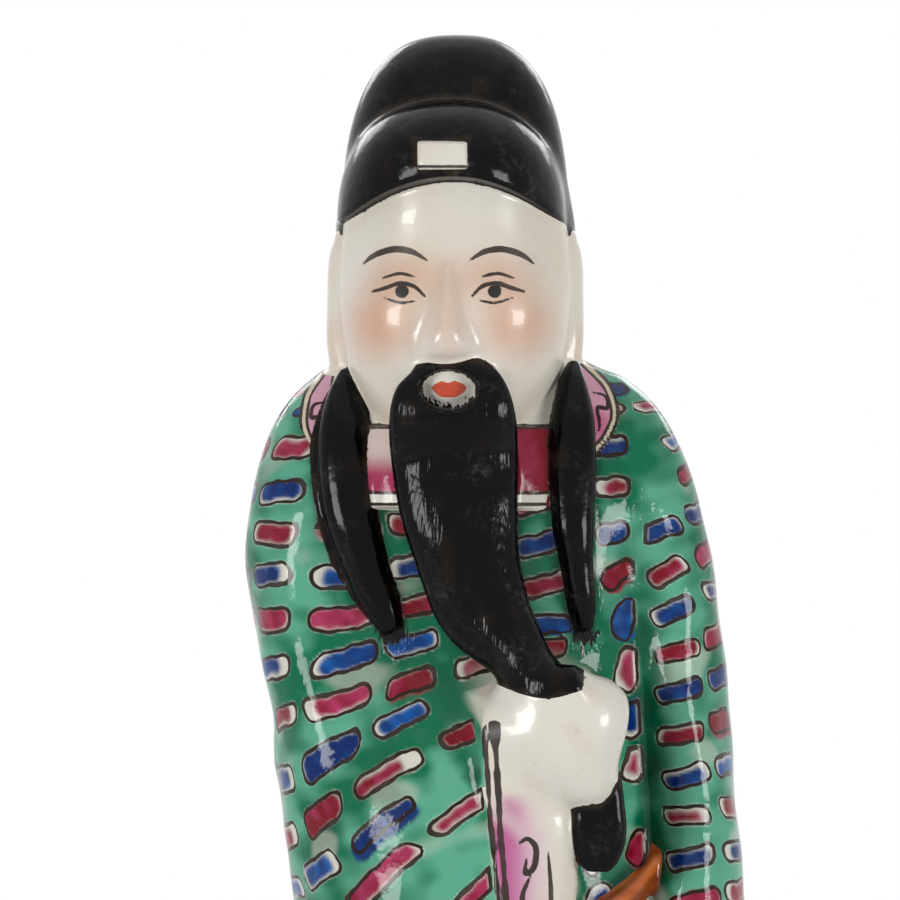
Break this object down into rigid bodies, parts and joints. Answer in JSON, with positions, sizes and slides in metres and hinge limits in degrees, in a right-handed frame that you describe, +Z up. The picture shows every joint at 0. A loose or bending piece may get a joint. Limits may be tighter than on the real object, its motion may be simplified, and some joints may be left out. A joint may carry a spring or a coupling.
{
  "type": "porcelain immortal figure",
  "caption": "Standing porcelain figure of a bearded immortal in a black scholar's cap and a green wide-sleeved robe, with one hand wrapped in its white sleeve.",
  "frame": {"origin": "middle of the figure's bounding box in plan, on the surface that it stands on", "axes": "+Z up from the foot to the cap, the face looks along -Y, +X is the viewer's right"},
  "size_m": [0.0718, 0.0496, 0.2252],
  "materials": {
    "green_enamel": "glossy green enamel painted with outlined blue and pink lozenges, over white glaze",
    "white_porcelain": "glossy warm white glaze",
    "black_enamel": "glossy black enamel",
    "crimson_enamel": "glossy crimson enamel with a white piping",
    "orange_enamel": "glossy iron-red and orange enamel",
    "unglazed_biscuit": "unglazed matte biscuit"
  },
  "bodies": {
    "root": {"robe_front_moulding": "green_enamel", "robe_back_moulding": "green_enamel", "base_slab": "unglazed_biscuit", "head": "white_porcelain", "inner_collar": "crimson_enamel", "cap_front": "black_enamel", "cap_crown": "black_enamel", "cap_plaque": "white_porcelain", "ear_right": "white_porcelain", "ear_left": "white_porcelain", "beard": "black_enamel", "side_lock_right": "black_enamel", "side_lock_left": "black_enamel", "sleeve_right": "green_enamel", "sleeve_left": "green_enamel", "covered_hand": "white_porcelain", "held_tablet": "black_enamel", "undersleeve": "white_porcelain", "belt_front": "orange_enamel", "belt_back": "orange_enamel", "shoe_right": "black_enamel", "shoe_left": "black_enamel"}
  },
  "joints": []
}
